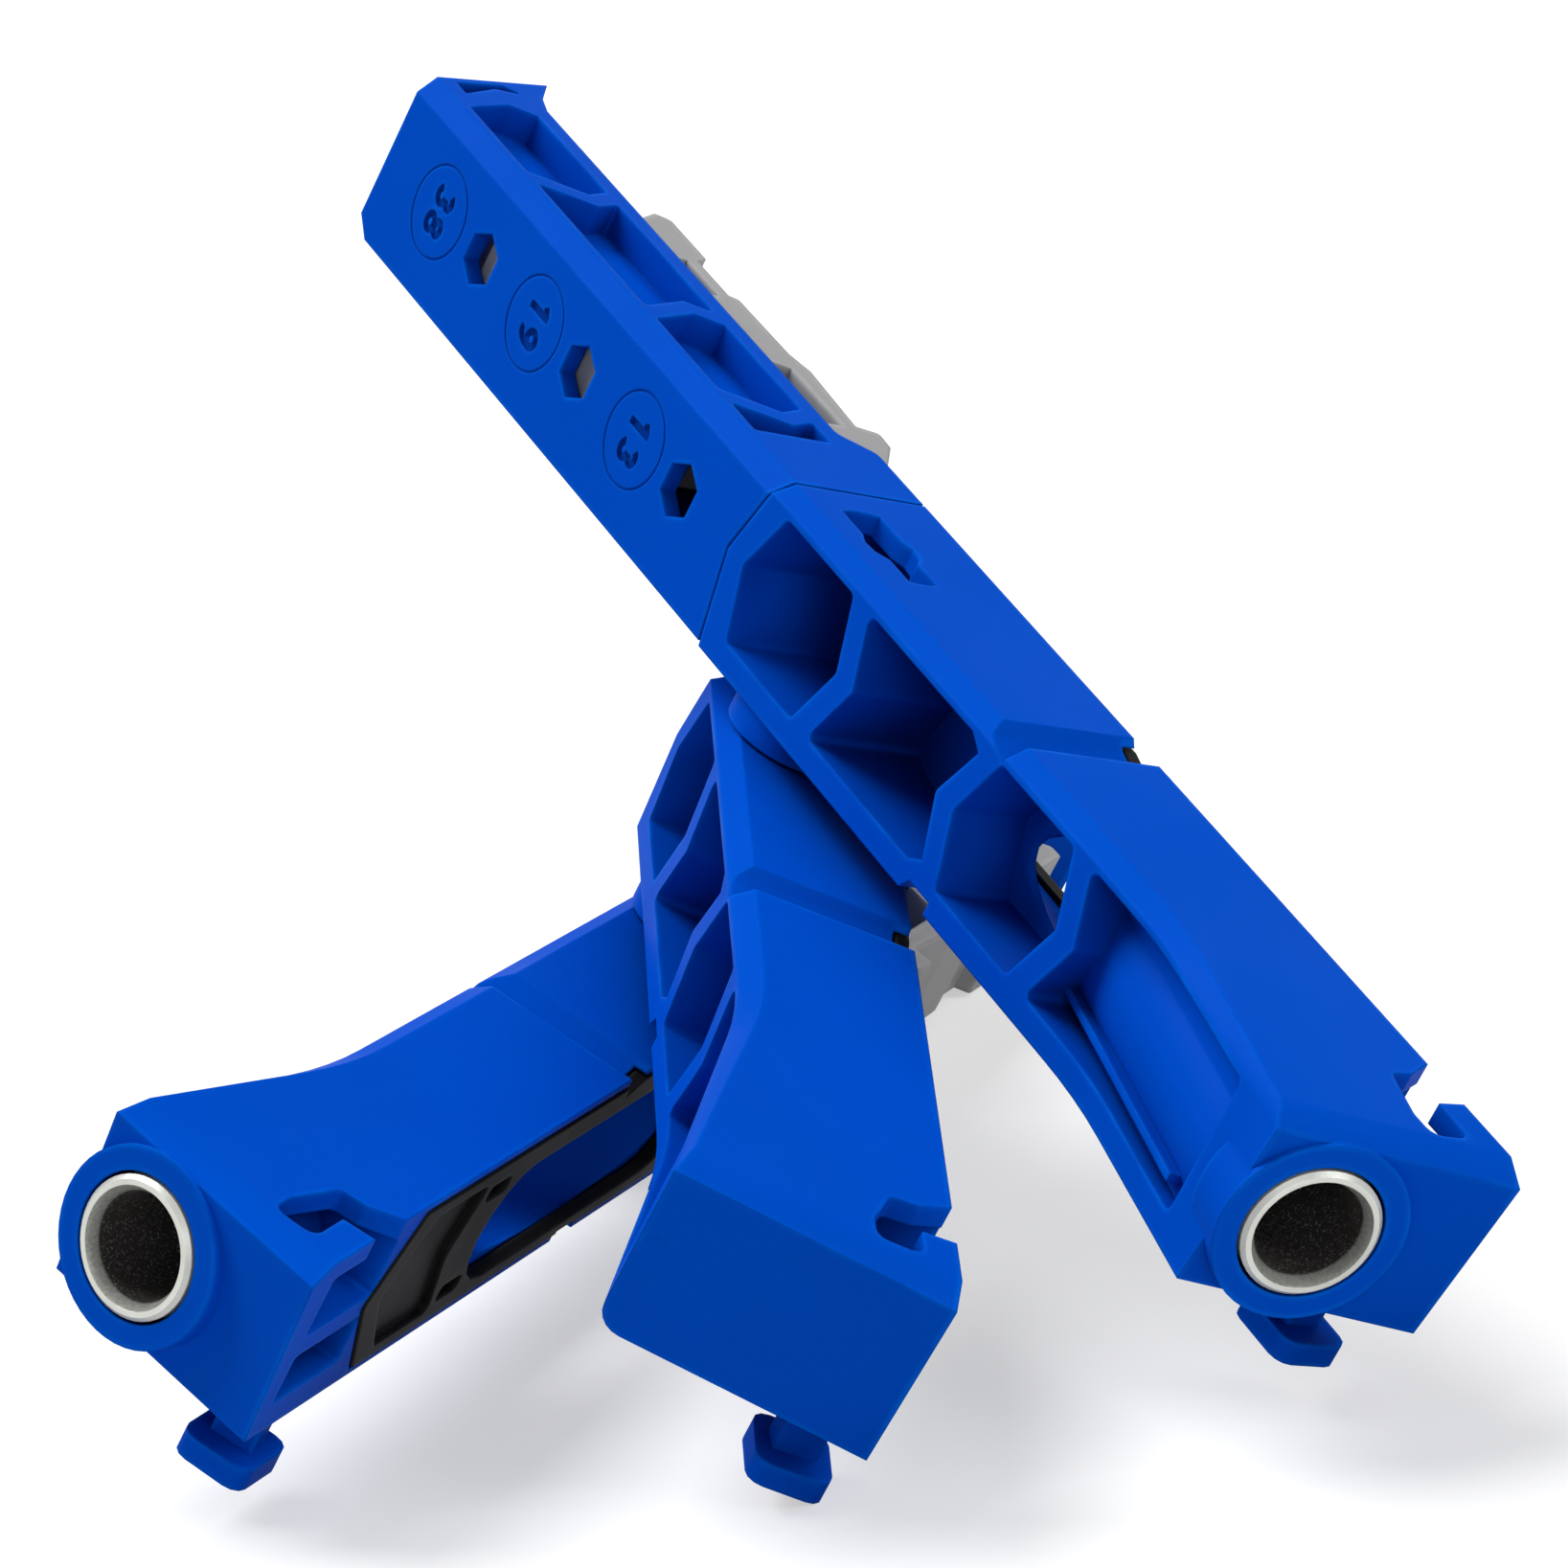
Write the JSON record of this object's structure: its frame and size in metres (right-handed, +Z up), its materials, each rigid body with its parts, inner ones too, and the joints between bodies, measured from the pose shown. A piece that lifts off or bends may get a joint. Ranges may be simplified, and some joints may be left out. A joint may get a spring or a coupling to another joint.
{
  "type": "pocket hole jig",
  "caption": "Pocket hole drilling jig: two blue drill guides and a spacer that twist open on one bayonet axis, with steel bushings and sliding stops.",
  "frame": {"origin": "centre of the bounding box on the surface the jig rests on", "axes": "+Z up, +Y away from the viewer of the picture along the object's longest side, +X to the viewer's right"},
  "size_m": [0.1256, 0.1814, 0.1009],
  "materials": {
    "blue_plastic": "satin moulded",
    "grey_plastic": "satin moulded",
    "rubber": "matt",
    "steel": "ground"
  },
  "bodies": {
    "lower_guide": {"lower_guide_body": "blue_plastic", "lower_drill_bushing": "steel", "lower_scale_arm": "blue_plastic", "lower_grip_pad": "rubber"},
    "lower_stop": {"lower_positioning_stop": "grey_plastic"},
    "spacer": {"spacer_body": "blue_plastic", "spacer_grip_pad": "rubber"},
    "upper_guide": {"upper_guide_body": "blue_plastic", "upper_drill_bushing": "steel", "upper_scale_arm": "blue_plastic", "upper_grip_pad": "rubber"},
    "upper_stop": {"upper_positioning_stop": "grey_plastic"}
  },
  "joints": [
    {"name": "spacer_twist", "type": "hinge", "parent": "lower_guide", "child": "spacer", "pos_m": [-0.00543, 0.00402, 0.0289], "axis": [0.4831, -0.1607, 0.8607], "range_deg": [-29.3, 60.7]},
    {"name": "upper_twist", "type": "hinge", "parent": "spacer", "child": "upper_guide", "pos_m": [0.00529, 0.00046, 0.048], "axis": [0.4831, -0.1607, 0.8607], "range_deg": [-27.9, 62.1]},
    {"name": "lower_stop_slide", "type": "slide", "parent": "lower_guide", "child": "lower_stop", "axis": [0.4098, 0.9102, -0.0601], "range_m": [0, 0.016]},
    {"name": "upper_stop_slide", "type": "slide", "parent": "upper_guide", "child": "upper_stop", "axis": [-0.4283, 0.814, 0.3924], "range_m": [0, 0.016]}
  ]
}
